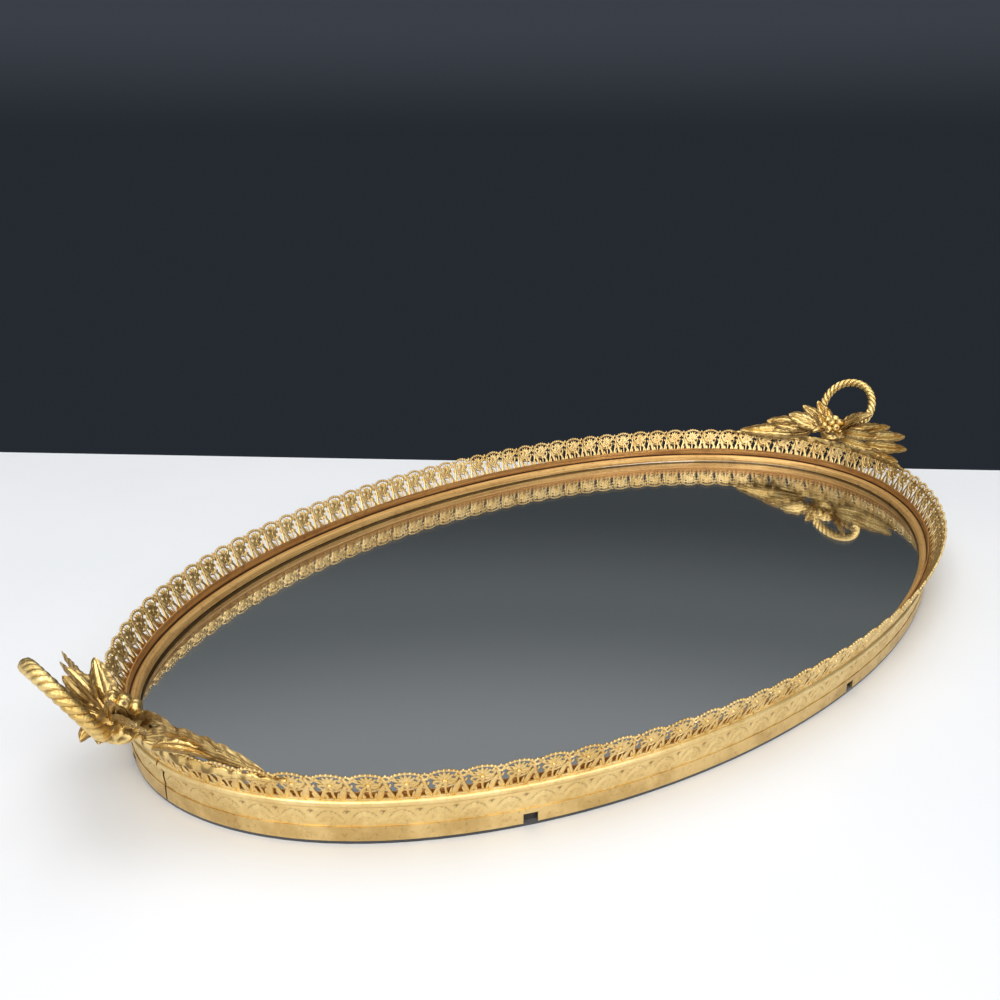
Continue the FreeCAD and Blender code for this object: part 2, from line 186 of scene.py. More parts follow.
# ---------------------------------------------------------------- mirror
# Clear plate glass with a silver coat on its back. It lies loose on the paper, held down by
# the bead round its edge, and has a few wiping marks.
FILM_SIDES = 360
# A hair of air under the glass, so that no light is caught between two faces in one place.
SILVER_GAP = 0.03 * MM

plate_glass, shader = new_material("plate_glass", Base_Color=(0.97, 0.975, 0.975, 1), IOR=1.5,
                                   Transmission_Weight=1.0, Specular_IOR_Level=0.5)
smears = grain(plate_glass, 22.0, detail=6.0, roughness=0.7)
joined(plate_glass, ranged(plate_glass, smears, 0.45, 0.8, 0.0, 0.035), shader.inputs["Roughness"])
recoated("mirror_glass", plate_glass)

silver_coat, shader = new_material("silver_coat", Metallic=1.0, Roughness=0.0)
specks = grain(silver_coat, 900.0, detail=3.0)
joined(silver_coat, blended(silver_coat, ranged(silver_coat, specks, 0.72, 0.78),
                            (0.88, 0.87, 0.87, 1), (0.35, 0.34, 0.33, 1)),
       shader.inputs["Base Color"])
coat_low, coat_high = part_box("mirror_silvering")
film = oval_plate(coat_high[0], coat_high[1], coat_low[2], coat_high[2] - SILVER_GAP, FILM_SIDES)
finished("silver_film", film, silver_coat, ["mirror_silvering"])

# ---------------------------------------------------------------- foot ribbon
# A plain strip of gilded brass round the foot, notched where the clips come through and
# butted near the left end. The gilding is rubbed, and its hollows are darkened with brown
# lacquer and with painted shade.


def gilt(name, bright, deep, dark_tone, roughness, speckle=0.35, bump=0.05):
    """Gilded brass: two golds clouded together, brown lacquer and painted shade in the hollows,
    and specks of tarnish.
    """
    material, shader = new_material(name, Metallic=1.0)
    cloud = ranged(material, grain(material, 90.0, detail=5.0), 0.35, 0.65)
    gold = blended(material, cloud, bright, deep)
    spots = grain(material, 700.0, detail=5.0, roughness=0.7)
    spots = ranged(material, spots, 0.52, 0.72, 0.0, speckle)
    gold = blended(material, spots, gold, dark_tone)
    # The hollow mask paints shade as well as lacquer: recesses, folds and sides between parts turn
    # dark.
    dirt_and_shade = wire(material, "Attribute", {"attribute_name": "dirt_and_shade"}).outputs["Fac"]
    joined(material, blended(material, dirt_and_shade, gold, dark_tone), shader.inputs["Base Color"])
    # Tarnish specks and the painted shade of the hollows also make the surface rougher and less
    # metallic.
    tarnish_and_shade = wire(material, "Math", {"operation": "ADD"}, _0=spots, _1=dirt_and_shade).outputs[0]
    joined(material, ranged(material, tarnish_and_shade, 0.0, 1.0, roughness, 0.75), shader.inputs["Roughness"])
    joined(material, ranged(material, tarnish_and_shade, 0.2, 1.4, 1.0, 0.35), shader.inputs["Metallic"])
    pits = grain(material, 1800.0, detail=3.0)
    bumped(material, shader, pits, bump * MM)
    return material


recoated("foot_ribbon", gilt("ribbon_gilt", (0.8, 0.59, 0.27, 1), (0.6, 0.41, 0.16, 1),
                             (0.16, 0.08, 0.03, 1), 0.4))
# Painted shade: the lap behind the seam is coloured nearly black, so that the seam reads as a dark
# gap.
recoated("seam_lap", gilt("seam_shadow_brass", (0.12, 0.07, 0.03, 1), (0.06, 0.03, 0.015, 1),
                          (0.02, 0.01, 0.005, 1), 0.6))
# Painted shade: the clips are coloured dark brown, standing for the shade inside the notches of the
# foot.
recoated("backing_clips", gilt("clip_notch_shade", (0.16, 0.09, 0.05, 1), (0.08, 0.045, 0.03, 1),
                               (0.03, 0.015, 0.01, 1), 0.7))

# ---------------------------------------------------------------- embossed band
# A thin brass strip rolled between dies: a row of fanned arches with darts between them, over
# a fine line. It stands on the foot ribbon and carries the plain half-round ridge.
REPEATS = 100
BAND_FOOT = 6.2
BAND_TOP = 13.7
BAND_ROWS = 13
BAND_STEPS = 20
BAND_FOOT_OUT = -0.55
BAND_SPREAD = 0.95
BAND_THICK = 0.7 * MM
RELIEF_DEPTH = 0.75
SEAM_FROM_END = 6.5 * MM
SEAM_GAP = 0.8 * MM

OVAL_STEPS = 3600
oval_angles = [math.tau * step / OVAL_STEPS for step in range(OVAL_STEPS + 1)]
oval_lengths = [0.0]
for before, after in zip(oval_angles, oval_angles[1:]):
    run = HALF_LENGTH * (math.cos(after) - math.cos(before))
    rise = HALF_WIDTH * (math.sin(after) - math.sin(before))
    oval_lengths.append(oval_lengths[-1] + math.hypot(run, rise))
OUTLINE = oval_lengths[-1]
PITCH = OUTLINE / REPEATS


def oval_angle(distance):
    """The angle on the oval at a distance along the foot, from the right end towards the back."""
    laps, distance = divmod(distance, OUTLINE)
    index = bisect.bisect_right(oval_lengths, distance) - 1
    index = min(index, len(oval_lengths) - 2)
    share = (distance - oval_lengths[index]) / (oval_lengths[index + 1] - oval_lengths[index])
    return math.tau * laps + oval_angles[index] + share * (oval_angles[1] - oval_angles[0])


def on_oval(distance, out, up):
    """The point a distance along the foot, so far outside it and so high."""
    angle = oval_angle(distance)
    x = (HALF_LENGTH + out) * math.cos(angle)
    y = (HALF_WIDTH + out) * math.sin(angle)
    return Vector((x, y, up))


def smooth(value, low, high):
    """0 below low, 1 above high, and a smooth rise between."""
    share = min(max((value - low) / (high - low), 0.0), 1.0)
    return share * share * (3 - 2 * share)


def hump(value, centre, half):
    """1 at the centre, falling smoothly to 0 at half a width each side."""
    return 1.0 - smooth(abs(value - centre), 0.0, half)


def band_relief(across, up):
    """The height of the rolled pattern, at shares of one repeat across and of the band up."""
    x = (across - 0.5) / 0.43
    y = (up - 0.1) / 0.76
    reach = math.hypot(x, y)
    fan = math.atan2(max(y, 0.0), x)
    groove = -0.4 * hump(reach, 0.95, 0.11) * smooth(up, 0.3, 0.5)
    rim = 0.26 * hump(reach, 0.78, 0.17) * smooth(up, 0.16, 0.3)
    ribs = 0.17 * math.cos(fan * 13.0) * smooth(reach, 0.15, 0.35)
    ribs *= 1.0 - smooth(reach, 0.6, 0.72)
    boss = 0.35 * hump(math.hypot(x, (up - 0.17) * 1.8), 0.0, 0.26)
    side = min(across, 1.0 - across)
    leafing = 0.24 * hump(side, 0.13, 0.09) * hump(up, 0.4, 0.3)
    dart = -0.55 * (1.0 - smooth(side, 0.0, 0.02 + 0.13 * smooth(up, 0.6, 0.9)))
    dart *= smooth(up, 0.6, 0.7) * (1.0 - smooth(up, 0.86, 0.95))
    line = 0.25 * hump(up, 0.07, 0.05)
    return groove + rim + ribs + boss + leafing + dart + line


band_gilt = gilt("band_gilt", (0.88, 0.67, 0.31, 1), (0.76, 0.55, 0.23, 1),
                 (0.2, 0.1, 0.03, 1), 0.44, speckle=0.3)

band = bmesh.new()
dirt_and_shade = band.verts.layers.float.new("dirt_and_shade")
bmesh.ops.create_grid(band, x_segments=REPEATS * BAND_STEPS, y_segments=BAND_ROWS, size=0.5)
seam_at = OUTLINE / 2 + SEAM_FROM_END
for point in band.verts:
    share, up = point.co.x + 0.5, point.co.y + 0.5
    relief = band_relief((share * REPEATS) % 1.0, up)
    # Painted shade: the sunk parts of the rolled pattern turn dark, along with the lacquer there.
    point[dirt_and_shade] = 0.7 * (1.0 - smooth(relief, -0.32, -0.03))
    distance = seam_at + SEAM_GAP / 2 + share * (OUTLINE - SEAM_GAP)
    out = (BAND_FOOT_OUT + BAND_SPREAD * up + RELIEF_DEPTH * relief) * MM
    point.co = on_oval(distance, out, (BAND_FOOT + up * (BAND_TOP - BAND_FOOT)) * MM)
bmesh.ops.solidify(band, geom=band.faces[:], thickness=BAND_THICK)
bmesh.ops.recalc_face_normals(band, faces=band.faces)
finished("rolled_band", band, band_gilt, ["embossed_band"], crease=60)


def moulding(profile, gap=0.0, steps=320):
    """A moulding run round the oval from the seam, in a loop of (out, up) points in mm."""
    mesh = bmesh.new()
    bmesh.ops.create_grid(mesh, x_segments=steps, y_segments=len(profile), size=0.5)
    for point in mesh.verts:
        out, up = profile[round((point.co.y + 0.5) * len(profile)) % len(profile)]
        distance = seam_at + gap / 2 + (point.co.x + 0.5) * (OUTLINE - gap)
        point.co = on_oval(distance, out * MM, up * MM)
    bmesh.ops.remove_doubles(mesh, verts=mesh.verts, dist=0.005 * MM)
    bmesh.ops.holes_fill(mesh, edges=[edge for edge in mesh.edges if edge.is_boundary])
    bmesh.ops.recalc_face_normals(mesh, faces=mesh.faces)
    return mesh


ridge_profile = [(-0.1, 13.6), (0.7, 13.65), (1.35, 13.95), (1.72, 14.5), (1.82, 15.1),
                 (1.65, 15.75), (1.2, 16.2), (0.7, 16.35), (-0.1, 16.35)]
ridge = moulding(ridge_profile, SEAM_GAP)
finished("band_ridge", ridge, band_gilt, ["embossed_band"])

# ---------------------------------------------------------------- ledge and bead
# Two strips of brown-gold brass inside the wall: an upright one behind the gallery's foot, and
# a rounded bead below it that presses on the rim of the mirror. Painted shade darkens the step
# between them.
# How closely the streaks lie: to the half width of the oval, to the radian and to the metre up.
STREAKS_OUT = 260.0
STREAKS_ALONG = 5.0
STREAKS_UP = 900.0
GROOVE_SHADE_TOP = 15.1
GROOVE_SHADE_EDGE = 0.3
GROOVE_SHADE = (0.03, 0.012, 0.006, 1)


def scaled(material, value, factor):
    return wire(material, "Math", {"operation": "MULTIPLY"}, _0=value, _1=factor).outputs[0]


def aged(name, bright, deep, dark_tone, dark_below=0.0):
    """Lacquered gilding, rubbed in streaks along the strip, with painted black shade below a
    height.
    """
    material, shader = new_material(name, Metallic=0.6)
    points = object_points(material)
    squashed = wire(material, "VectorMath", {"operation": "MULTIPLY"}, _0=points)
    squashed.inputs[1].default_value = (1 / HALF_LENGTH, 1 / HALF_WIDTH, 0.0)
    radius = wire(material, "VectorMath", {"operation": "LENGTH"}, _0=squashed.outputs[0])
    parts = wire(material, "SeparateXYZ", Vector=points)
    oval_parts = wire(material, "SeparateXYZ", Vector=squashed.outputs[0])
    turn = wire(material, "Math", {"operation": "ARCTAN2"},
                _0=oval_parts.outputs["Y"], _1=oval_parts.outputs["X"])
    track = wire(material, "CombineXYZ", X=scaled(material, radius.outputs["Value"], STREAKS_OUT),
                 Y=scaled(material, turn.outputs[0], STREAKS_ALONG),
                 Z=scaled(material, parts.outputs["Z"], STREAKS_UP)).outputs["Vector"]
    streak = ranged(material, grain(material, 1.0, detail=5.0, vector=track), 0.36, 0.64)
    gold = blended(material, streak, bright, deep)
    spots = grain(material, 260.0, detail=6.0, roughness=0.7)
    spots = ranged(material, spots, 0.5, 0.75, 0.0, 0.55)
    gold = blended(material, spots, gold, dark_tone)
    # Painted shade: below the given height the strip turns nearly black, as the step by the bead
    # would in shadow.
    if dark_below:
        groove_shade = ranged(material, parts.outputs["Z"], (dark_below - GROOVE_SHADE_EDGE) * MM,
                       (dark_below + GROOVE_SHADE_EDGE) * MM, 0.92, 0.0)
        gold = blended(material, groove_shade, gold, GROOVE_SHADE)
    joined(material, gold, shader.inputs["Base Color"])
    joined(material, ranged(material, streak, 0.0, 1.0, 0.42, 0.56), shader.inputs["Roughness"])
    bumped(material, shader, streak, 0.05 * MM)
    return material


recoated("rim_ledge", aged("ledge_gilt", (0.6, 0.31, 0.09, 1), (0.38, 0.17, 0.045, 1),
                           (0.1, 0.04, 0.015, 1), dark_below=GROOVE_SHADE_TOP))
recoated("retaining_bead", aged("bead_gilt", (0.78, 0.48, 0.17, 1), (0.54, 0.3, 0.09, 1),
                                (0.17, 0.075, 0.022, 1)))

# ---------------------------------------------------------------- pierced gallery
# Stamped brass openwork that leans outward all round. Each repeat has two leaning stems, a
# leaf, a rosette on a thin leg and a beaded arch, with an eyelet where two arches meet.
GALLERY_FOOT = 16.3 * MM
GALLERY_TOP = 28.8 * MM
GALLERY_RISE = GALLERY_TOP - GALLERY_FOOT
FOOT_OUT = 0.45 * MM
TOP_OUT = 6.0 * MM
PETAL_DEPTH = 0.4 * MM


def section(centre, along, across, half_width, half_depth):
    """Where a circle of radius 1 goes to be one section of a rod, half_width wide across it."""
    along = along.normalized()
    across = (across - across.project(along)).normalized()
    third = along.cross(across)
    sides = Matrix((across * half_width, third * half_depth, along * half_width))
    place = sides.transposed().to_4x4()
    place.translation = centre
    return place


def rod(mesh, sections, sides):
    """A closed rod through its sections. Each extrusion also leaves its start face inside."""
    start = bmesh.ops.create_circle(mesh, cap_ends=True, segments=sides, radius=1.0,
                                    matrix=sections[0])
    cap = start["verts"][0].link_faces[0]
    for here, there in zip(sections, sections[1:]):
        grown = bmesh.ops.extrude_face_region(mesh, geom=[cap])
        cap = next(item for item in grown["geom"] if isinstance(item, bmesh.types.BMFace))
        bmesh.ops.transform(mesh, matrix=there @ here.inverted(), verts=cap.verts)


def cell_point(across, up, out=0.0):
    """A point of one repeat, in shares of its pitch and height, before it is bent to the oval."""
    return Vector((across * PITCH, out * MM, up * GALLERY_RISE))


def stem(mesh, path, widths, depth, out=0.0, sides=6):
    """A flat stem along a path of (across, up) shares, its width in mm at each point."""
    points = [cell_point(across, up, out) for across, up in path]
    sections = []
    for index, point in enumerate(points):
        ahead = points[min(index + 1, len(points) - 1)] - points[max(index - 1, 0)]
        side = ahead.cross(Vector((0, 1, 0)))
        sections.append(section(point, ahead, side, widths[index] / 2 * MM, depth / 2 * MM))
    rod(mesh, sections, sides)


def petal(mesh, across, up, turn, length, width, out):
    """A plump petal from its root at the point, lying at a turn, in degrees, from across."""
    angle = math.radians(turn)
    ahead = Vector((math.cos(angle), 0, math.sin(angle)))
    centre = cell_point(across, up, out) + ahead * (length / 2 * MM)
    place = section(centre, ahead, ahead.cross(Vector((0, 1, 0))), width / 2 * MM, PETAL_DEPTH)
    place = place @ Matrix.Diagonal((1, 1, length / width, 1))
    bmesh.ops.create_uvsphere(mesh, u_segments=6, v_segments=5, radius=1.0, matrix=place)


def bead(mesh, across, up, radius, out):
    place = Matrix.Translation(cell_point(across, up, out))
    bmesh.ops.create_icosphere(mesh, subdivisions=1, radius=radius * MM, matrix=place)


# Loops of one repeat, each by its centre and its half sizes, in shares of pitch and height.
ARCH_CENTRE = 0.38
ARCH = (ARCH_CENTRE, 0.76), (0.41, 0.2)
HOOP = (ARCH_CENTRE, 0.6), (0.33, 0.27)
EYELET = (-0.12, 0.8), (0.1, 0.09)
BEADS_GROW = 1.05
ROSETTE_UP = 0.57


def loop_point(loop, turn, grow=1.0):
    """A point on a loop, from its right side at 0 degrees over its top to its left at 180."""
    (across, up), (half, rise) = loop
    angle = math.radians(turn)
    return across + half * grow * math.cos(angle), up + rise * grow * math.sin(angle)


# Each stem: its path, its width at each point of the path, its depth and how far it stands out.
STEMS = [
    ([(0.0, -0.02), (-0.06, 0.16), (-0.14, 0.42), (-0.2, 0.76)], [1.1, 1.2, 1.2, 1.2], 0.9, 0.0),
    ([(0.01, -0.02), (0.07, 0.14), (0.16, 0.3), (0.26, 0.44)], [1.1, 1.25, 1.4, 1.8], 0.9, 0.05),
    ([(0.37, -0.02), (0.365, 0.2), (0.37, 0.42)], [0.95, 0.75, 1.1], 0.8, 0.0),
    ([(0.57, -0.02), (0.61, 0.14), (0.68, 0.34), (0.79, 0.58)], [1.3, 2.1, 2.0, 0.9], 1.0, 0.15),
    ([(0.5, 0.46), (0.6, 0.5), (0.7, 0.64), (0.76, 0.76)], [1.4, 1.1, 1.1, 1.1], 0.8, 0.0),
    ([(-0.1, 0.68), (0.0, 0.77), (0.1, 0.7), (0.24, 0.62)], [0.9, 1.1, 1.1, 1.2], 0.8, 0.05),
    ([(0.07, 0.5), (0.1, 0.58), (0.2, 0.58)], [0.8, 1.2, 0.9], 0.7, 0.1),
]
repeat = bmesh.new()
for path, widths, depth, out in STEMS:
    stem(repeat, path, widths, depth, out)
for turn in range(0, 360, 45):
    petal(repeat, ARCH_CENTRE, ROSETTE_UP, turn, 2.9, 1.5, 0.08)
bead(repeat, ARCH_CENTRE, ROSETTE_UP, 0.95, 0.25)
for turn in (-12, 30, 60, 90, 120, 150, 192):
    petal(repeat, ARCH_CENTRE, 0.66, turn, 3.2, 1.15, -0.02)
for across, turn in ((0.12, 110), (0.64, 70)):
    petal(repeat, across, 0.68, turn, 2.2, 1.2, 0.0)
for across, turn in ((0.19, 97), (0.47, 78), (0.9, 104)):
    petal(repeat, across, 0.0, turn, 3.6, 1.2, 0.0)
for across, up, turn in ((0.22, 0.42, 205), (0.53, 0.38, 20), (-0.12, 0.36, 160),
                         (0.96, 0.6, 250)):
    petal(repeat, across, up, turn, 1.8, 0.9, 0.0)
arch = [loop_point(ARCH, turn) for turn in (-8, 20, 46, 72, 90, 108, 134, 160, 188)]
stem(repeat, arch, [1.0] * len(arch), 0.7, sides=4)
hoop = [loop_point(HOOP, turn) for turn in range(180, 361, 30)]
stem(repeat, hoop, [0.75] * len(hoop), 0.7, sides=4)
for turn in range(0, 181, 18):
    across, up = loop_point(ARCH, turn, BEADS_GROW)
    bead(repeat, across, up, 0.66, 0.0)
eyelet = [loop_point(EYELET, turn) for turn in range(0, 361, 45)]
stem(repeat, eyelet, [0.9] * len(eyelet), 0.9, out=0.1, sides=4)
bead(repeat, -0.12, 0.92, 0.55, 0.2)
bmesh.ops.recalc_face_normals(repeat, faces=repeat.faces)
repeat_mesh = bpy.data.meshes.new("gallery_repeat")
repeat.to_mesh(repeat_mesh)
repeat.free()

gallery = bmesh.new()
dirt_and_shade = gallery.verts.layers.float.new("dirt_and_shade")
for _ in range(REPEATS):
    gallery.from_mesh(repeat_mesh)
    repeat_mesh.transform(Matrix.Translation((PITCH, 0, 0)))
bpy.data.meshes.remove(repeat_mesh)
# Bending the row round the oval mirrors it, so most of its shells end up facing inward.
for point in gallery.verts:
    along, out, up = point.co
    # Painted shade: the flanks of every stem, petal and bead turn dark, and the inward side a
    # little.
    inward_shade = 1.0 - smooth(out, -0.35 * MM, 0.0)
    point[dirt_and_shade] = max(0.5 * (1.0 - smooth(abs(out), 0.05 * MM, 0.22 * MM)), 0.22 * inward_shade)
    lean = FOOT_OUT + (TOP_OUT - FOOT_OUT) * up / GALLERY_RISE
    point.co = on_oval(along, lean + out, GALLERY_FOOT + up)
gallery_gilt = gilt("gallery_gilt", (0.9, 0.68, 0.31, 1), (0.76, 0.53, 0.2, 1),
                    (0.26, 0.12, 0.035, 1), 0.34, speckle=0.4)
finished("openwork_gallery", gallery, gallery_gilt, ["pierced_gallery"], crease=70)

rail_profile = [(-0.15, 16.2), (0.95, 16.2), (1.05, 16.6), (0.95, 17.0), (0.2, 17.0), (-0.05, 16.6)]
finished("gallery_rail", moulding(rail_profile), gallery_gilt, ["pierced_gallery"])

# ---------------------------------------------------------------- handles
# Each end has one casting: a strap along the gallery's top, a knot, a ring of twisted rope
# leaning outward, a curled leaf, a spray of leaves and a bunch of berries in front.
# The casting's sizes and places are in mm, for the right end, and its angles in degrees.
STRAP_REACH = 58
STRAP_STEPS = 24
STRAP_OUT = 5.1
STRAP_UP = 27.9
STRAP_HALF_DEPTH = 0.9
STRAP_FOLDS = 2.6
KNOT_CENTRE = (224.4, 0, 32.8)
KNOT_HALF = (6, 8, 5.5)
KNOT_UNDERSIDE = 29.0
ROPE_CENTRE = (238.4, 0, 47.3)
ROPE_LEAN = 30
ROPE_RADIUS = 14.9
ROPE_STRANDS = 3
ROPE_TWISTS = 10
ROPE_STEPS = 180
STRAND_OUT = 1.15
STRAND_RADIUS = 1.35
LEAF_THICK = 0.9
BERRIES_CENTRE = (221.4, 0, 39.4)
BERRIES_TILT = -35
BERRIES_SPREAD = 4.4
BERRY_AHEAD = 0.8
BERRY_FAN = 3.4
BERRY_RADIUS = 2.25
LEFT_SUNK = 2.6
CAST_CREASE = 55

cast_gilt = gilt("cast_gilt", (0.93, 0.69, 0.28, 1), (0.72, 0.48, 0.16, 1),
                 (0.13, 0.065, 0.02, 1), 0.3, speckle=0.6, bump=0.2)


def strap():
    """The strap inside the gallery's top edge, tapered at both ends, its surface folded."""
    mesh = bmesh.new()
    sections = []
    for step in range(-STRAP_STEPS, STRAP_STEPS + 1):
        share = step / STRAP_STEPS
        distance = share * STRAP_REACH * MM
        here = on_oval(distance, STRAP_OUT * MM, STRAP_UP * MM)
        ahead = on_oval(distance + MM, STRAP_OUT * MM, STRAP_UP * MM) - here
        half = (0.5 + 1.4 * (1 - abs(share) ** 3)) * MM
        sections.append(section(here, ahead, Vector((0, 0, 1)), half, STRAP_HALF_DEPTH * MM))
    rod(mesh, sections, 12)
    bmesh.ops.subdivide_edges(mesh, edges=mesh.edges, cuts=2, use_grid_fill=True)
    dirt_and_shade = mesh.verts.layers.float.new("dirt_and_shade")
    for point in mesh.verts:
        fold = noise.noise(point.co / (STRAP_FOLDS * MM))
        # Painted shade: the sunk parts of the folds turn dark.
        point[dirt_and_shade] = 0.8 * (1.0 - smooth(fold, -0.3, 0.12))
        point.co += Vector((math.copysign(0.3, -point.co.x), 0, 0.7)) * fold * MM
    return mesh


def knot():
    """The lump that the ring and the leaves spring from, knobbly and folded, flat underneath."""
    mesh = bmesh.new()
    dirt_and_shade = mesh.verts.layers.float.new("dirt_and_shade")
    bmesh.ops.create_icosphere(mesh, subdivisions=4, radius=1.0)
    for point in mesh.verts:
        fold = noise.noise(point.co * 2.3 + Vector((3.1, 0, 0)))
        fine = noise.noise(point.co * 6.0)
        grow = 1.0 + 0.22 * fold + 0.08 * fine
        # Painted shade: the sunk folds of the knot turn dark.
        point[dirt_and_shade] = 0.8 * (1.0 - smooth(fold, -0.3, 0.1))
        x, y, z = (middle + half * place * grow
                   for middle, half, place in zip(KNOT_CENTRE, KNOT_HALF, point.co))
        point.co = Vector((x, y, max(z, KNOT_UNDERSIDE))) * MM
    return mesh


def rope():
    """Three strands twisted together and bent into a ring that leans outward."""
    mesh = bmesh.new()
    dirt_and_shade = mesh.verts.layers.float.new("dirt_and_shade")
    centre = Vector(ROPE_CENTRE) * MM
    lean = math.radians(ROPE_LEAN)
    upward = Vector((math.sin(lean), 0, math.cos(lean)))
    sideways = Vector((0, 1, 0))
    axis = sideways.cross(upward)
    for strand in range(ROPE_STRANDS):
        points = []
        for step in range(ROPE_STEPS + 1):
            turn = math.tau * step / ROPE_STEPS
            twist = ROPE_TWISTS * turn + math.tau * strand / ROPE_STRANDS
            radial = sideways * math.sin(turn) - upward * math.cos(turn)
            middle = centre + radial * ROPE_RADIUS * MM
            around = radial * math.cos(twist) + axis * math.sin(twist)
            points.append(middle + around * STRAND_OUT * MM)
        sections = []
        for step, point in enumerate(points):
            ahead = points[(step + 1) % ROPE_STEPS] - points[(step - 1) % ROPE_STEPS]
            turn = math.tau * step / ROPE_STEPS
            radial = sideways * math.sin(turn) - upward * math.cos(turn)
            sections.append(section(point, ahead, radial, STRAND_RADIUS * MM, STRAND_RADIUS * MM))
        rod(mesh, sections, 8)
    for point in mesh.verts:
        flat = point.co - centre
        radial = (flat - axis * flat.dot(axis)).normalized()
        depth = (point.co - centre - radial * ROPE_RADIUS * MM).length
        # Painted shade: the crevices between the strands turn dark.
        point[dirt_and_shade] = 0.8 * (1.0 - smooth(depth, 1.5 * MM, 2.1 * MM))
    return mesh


def leaf(mesh, root, tip, face, width, droop=20.0, cup=0.3, belly=0.8, teeth=5, ribs=2):
    """A cast leaf from its root to its tip in mm, with its upper side towards face.

    It has a midrib, ribs beside it, slanting veins and a toothed edge, and bends by the droop in
    degrees. A smaller belly puts its widest place nearer the root.
    """
    dirt_and_shade = mesh.verts.layers.float["dirt_and_shade"]
    made = bmesh.ops.create_grid(mesh, x_segments=26, y_segments=14, size=0.5)
    root, tip = Vector(root), Vector(tip)
    bend = math.radians(droop)
    ahead = (tip - root).normalized()
    side_way = Vector(face).cross(ahead).normalized()
    upward = ahead.cross(side_way)
    lengthened = (tip - root).length * (bend / 2) / math.sin(bend / 2)
    turn = Matrix((ahead, side_way, upward)).transposed().to_4x4()
    place = (Matrix.Translation(root * MM) @ turn @ Matrix.Rotation(-bend / 2, 4, "Y")
             @ Matrix.Scale(MM, 4))
    for point in made["verts"]:
        along, across = point.co.x + 0.5, point.co.y * 2
        swell = max(math.sin(math.pi * min(along, 1.0) ** belly), 0.0) ** 0.75
        half = width / 2 * (0.08 + 0.92 * swell)
        half *= 1.0 + 0.22 * abs(math.sin(math.pi * teeth * along)) * smooth(along, 0.12, 0.35)
        side = abs(across)
        veins = math.cos(math.tau * (teeth + 2) * (along - 0.3 * side))
        relief = 0.6 * (1.0 - smooth(side, 0.04, 0.2)) + 0.34 * math.cos(math.tau * ribs * side)
        relief += 0.24 * veins * smooth(side, 0.15, 0.4)
        relief *= 1.0 - smooth(along, 0.85, 1.0)
        # Painted shade: the grooves between ribs and veins, and the leaf's edges, turn dark.
        point[dirt_and_shade] = max(0.9 * (1.0 - smooth(relief, -0.32, 0.12)),
                            0.7 * smooth(side, 0.8, 0.98))
        lift = cup * half * side * side + relief * 0.6
        swing = bend * along
        x = lengthened * math.sin(swing) / bend
        drop = lengthened * (1 - math.cos(swing)) / bend
        point.co = place @ Vector((x + lift * math.sin(swing), half * across,
                                   lift * math.cos(swing) - drop))
    faces = {face for point in made["verts"] for face in point.link_faces}
    bmesh.ops.solidify(mesh, geom=list(faces), thickness=LEAF_THICK * MM)


def leaves(specs):
    """Several leaves in one mesh. Some of their shells still face inward afterwards."""
    mesh = bmesh.new()
    mesh.verts.layers.float.new("dirt_and_shade")
    for spec in specs:
        leaf(mesh, **spec)
    bmesh.ops.recalc_face_normals(mesh, faces=mesh.faces)
    return mesh


def berries():
    """A bunch of seven berries, each with a small dimple at its end, leaning in over the tray."""
    mesh = bmesh.new()
    dirt_and_shade = mesh.verts.layers.float.new("dirt_and_shade")
    middle = Vector(BERRIES_CENTRE) * MM
    tilt = Matrix.Rotation(math.radians(BERRIES_TILT), 4, "Y")
    spots = [Vector((0, 0, BERRY_AHEAD))]
    for turn in range(0, 360, 60):
        angle = math.radians(turn)
        spots.append(Vector((BERRIES_SPREAD * math.cos(angle),
                             BERRIES_SPREAD * math.sin(angle), 0)))
    for spot in spots:
        centre = middle + tilt @ (spot * MM)
        made = bmesh.ops.create_icosphere(mesh, subdivisions=3, radius=BERRY_RADIUS * MM)
        face = (tilt @ (spot + Vector((0, 0, BERRY_FAN)))).normalized()
        for point in made["verts"]:
            facing = point.co.normalized().dot(face)
            # Painted shade: each dimple, and the half of each berry facing into the bunch, turn
            # dark.
            point[dirt_and_shade] = 0.9 * smooth(facing, 0.88, 0.96) + 0.5 * smooth(-facing, 0.0, 0.5)
            point.co *= 1.0 - 0.22 * smooth(facing, 0.86, 0.99)
            point.co += centre
    return mesh


# Leaves by their root and tip, the side they face, their width, and their droop in degrees.
INWARD = (-0.9, -0.35, 0.3)
ASIDE = (-0.9, 0, 0.4)
CURLED = [
    dict(root=(222.5, 13, 33), tip=(203.5, 51, 29.5), face=INWARD, width=8.5, droop=12,
         cup=0.5, belly=0.6, teeth=7),
    dict(root=(222, 18, 32), tip=(210.5, 33, 30), face=(0.2, 0.3, 0.9), width=4.5, droop=70,
         cup=0.6, teeth=3),
    dict(root=(223.5, 9, 35), tip=(218.5, 27, 41), face=(-0.75, -0.3, 0.5), width=8, droop=40,
         teeth=3),
    dict(root=(222, 14, 34), tip=(212, 38, 36), face=(-0.75, -0.35, 0.55), width=8, droop=26,
         teeth=4),
]
UPPER = [
    dict(root=(226, 3, 35), tip=(228, 23.5, 45.3), face=(-0.6, -0.3, 0.75), width=6.5, droop=16),
    dict(root=(227, 2, 36), tip=(230, 15, 49.3), face=(-0.85, -0.3, 0.4), width=6.5, droop=14),
    dict(root=(226, 2, 35), tip=(229, 8.5, 47), face=(-0.85, -0.4, 0.3), width=5, droop=-18),
    dict(root=(225, 6, 35), tip=(224, 20, 40), face=(-0.5, 0, 0.85), width=5.5, droop=30, teeth=4),
    dict(root=(223, 5, 34), tip=(219, 17, 35), face=(-0.5, 0, 0.85), width=5, droop=40, teeth=3),
]
